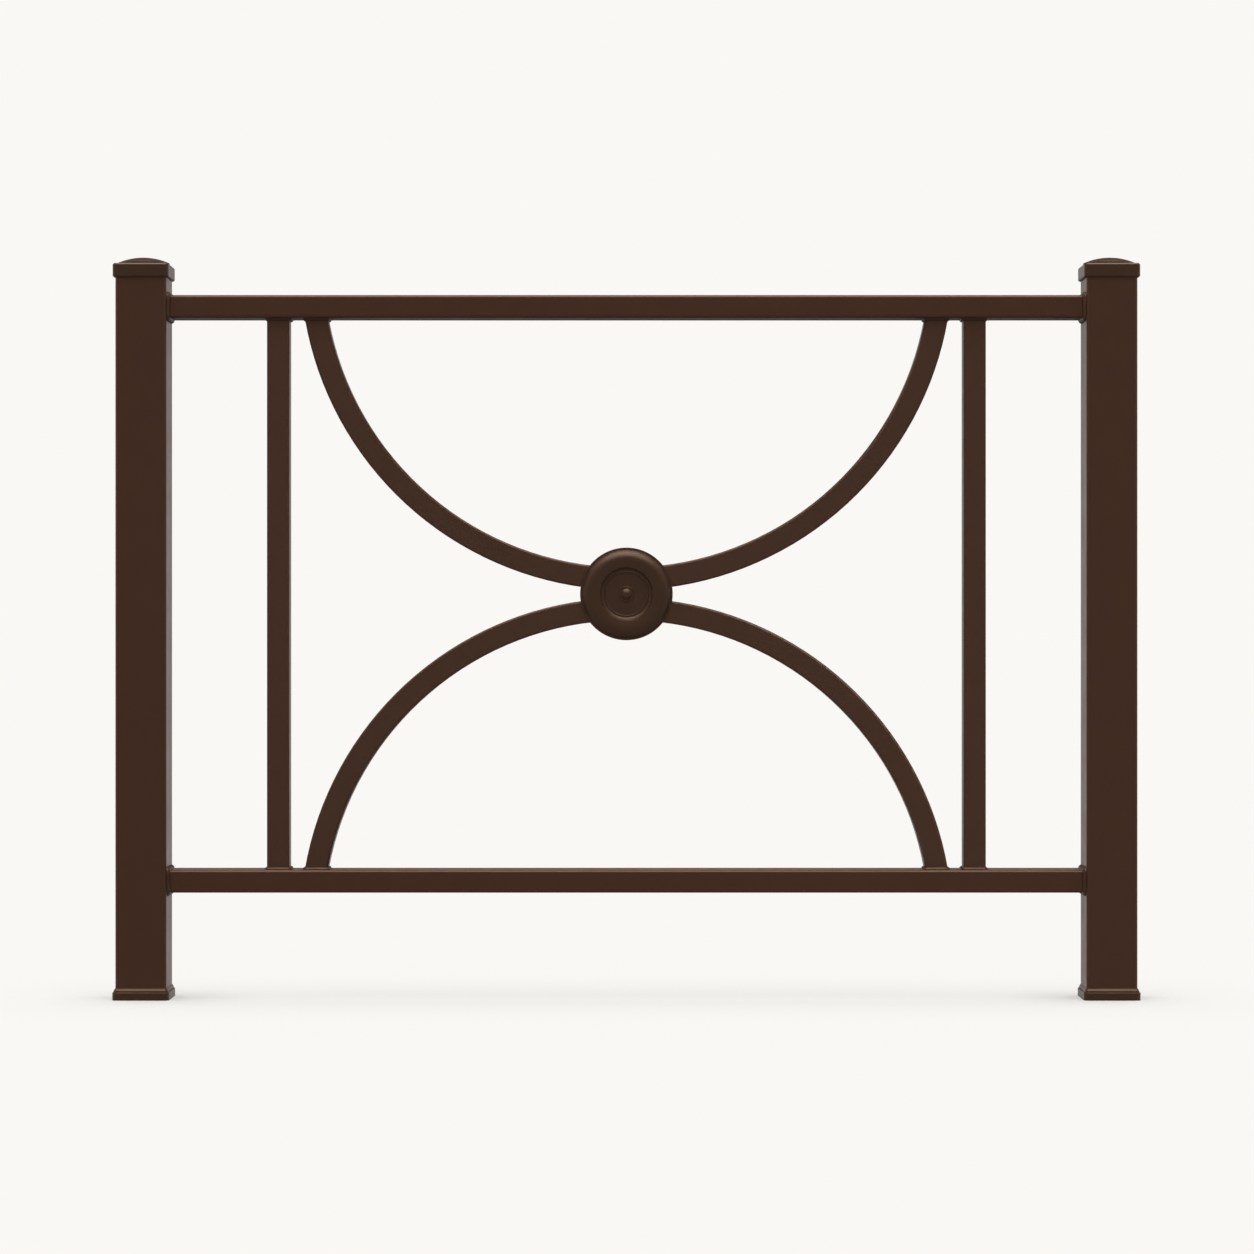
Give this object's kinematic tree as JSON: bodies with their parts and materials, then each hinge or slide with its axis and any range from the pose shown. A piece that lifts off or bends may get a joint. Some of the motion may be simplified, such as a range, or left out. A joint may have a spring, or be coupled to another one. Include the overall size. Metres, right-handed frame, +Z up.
{
  "type": "street barrier",
  "caption": "Welded steel street barrier: square posts with domed caps, flat rails, upright bars, and two bent tubes that nearly meet at a round rosette.",
  "frame": {"origin": "centre of the left post's foot, on the ground", "axes": "+X runs along the barrier to the right post, -Y is the front, +Z is up"},
  "size_m": [1.409, 0.078, 1.0205],
  "materials": {
    "powder_coat": "satin",
    "weld_powder_coat": "satin"
  },
  "bodies": {
    "root": {"left_post": "powder_coat", "right_post": "powder_coat", "left_post_cap": "powder_coat", "right_post_cap": "powder_coat", "left_base_collar": "powder_coat", "right_base_collar": "powder_coat", "left_foot_plate": "powder_coat", "right_foot_plate": "powder_coat", "top_rail": "powder_coat", "bottom_rail": "powder_coat", "left_baluster": "powder_coat", "right_baluster": "powder_coat", "upper_arc": "powder_coat", "lower_arc": "powder_coat", "rosette_front": "powder_coat", "rosette_back": "powder_coat", "rosette_rivet": "powder_coat", "top_rail_left_weld": "weld_powder_coat", "top_rail_right_weld": "weld_powder_coat", "bottom_rail_left_weld": "weld_powder_coat", "bottom_rail_right_weld": "weld_powder_coat", "left_baluster_bottom_weld": "weld_powder_coat", "left_baluster_top_weld": "weld_powder_coat", "right_baluster_bottom_weld": "weld_powder_coat", "right_baluster_top_weld": "weld_powder_coat", "upper_arc_left_weld": "weld_powder_coat", "upper_arc_right_weld": "weld_powder_coat", "lower_arc_left_weld": "weld_powder_coat", "lower_arc_right_weld": "weld_powder_coat"}
  },
  "joints": []
}
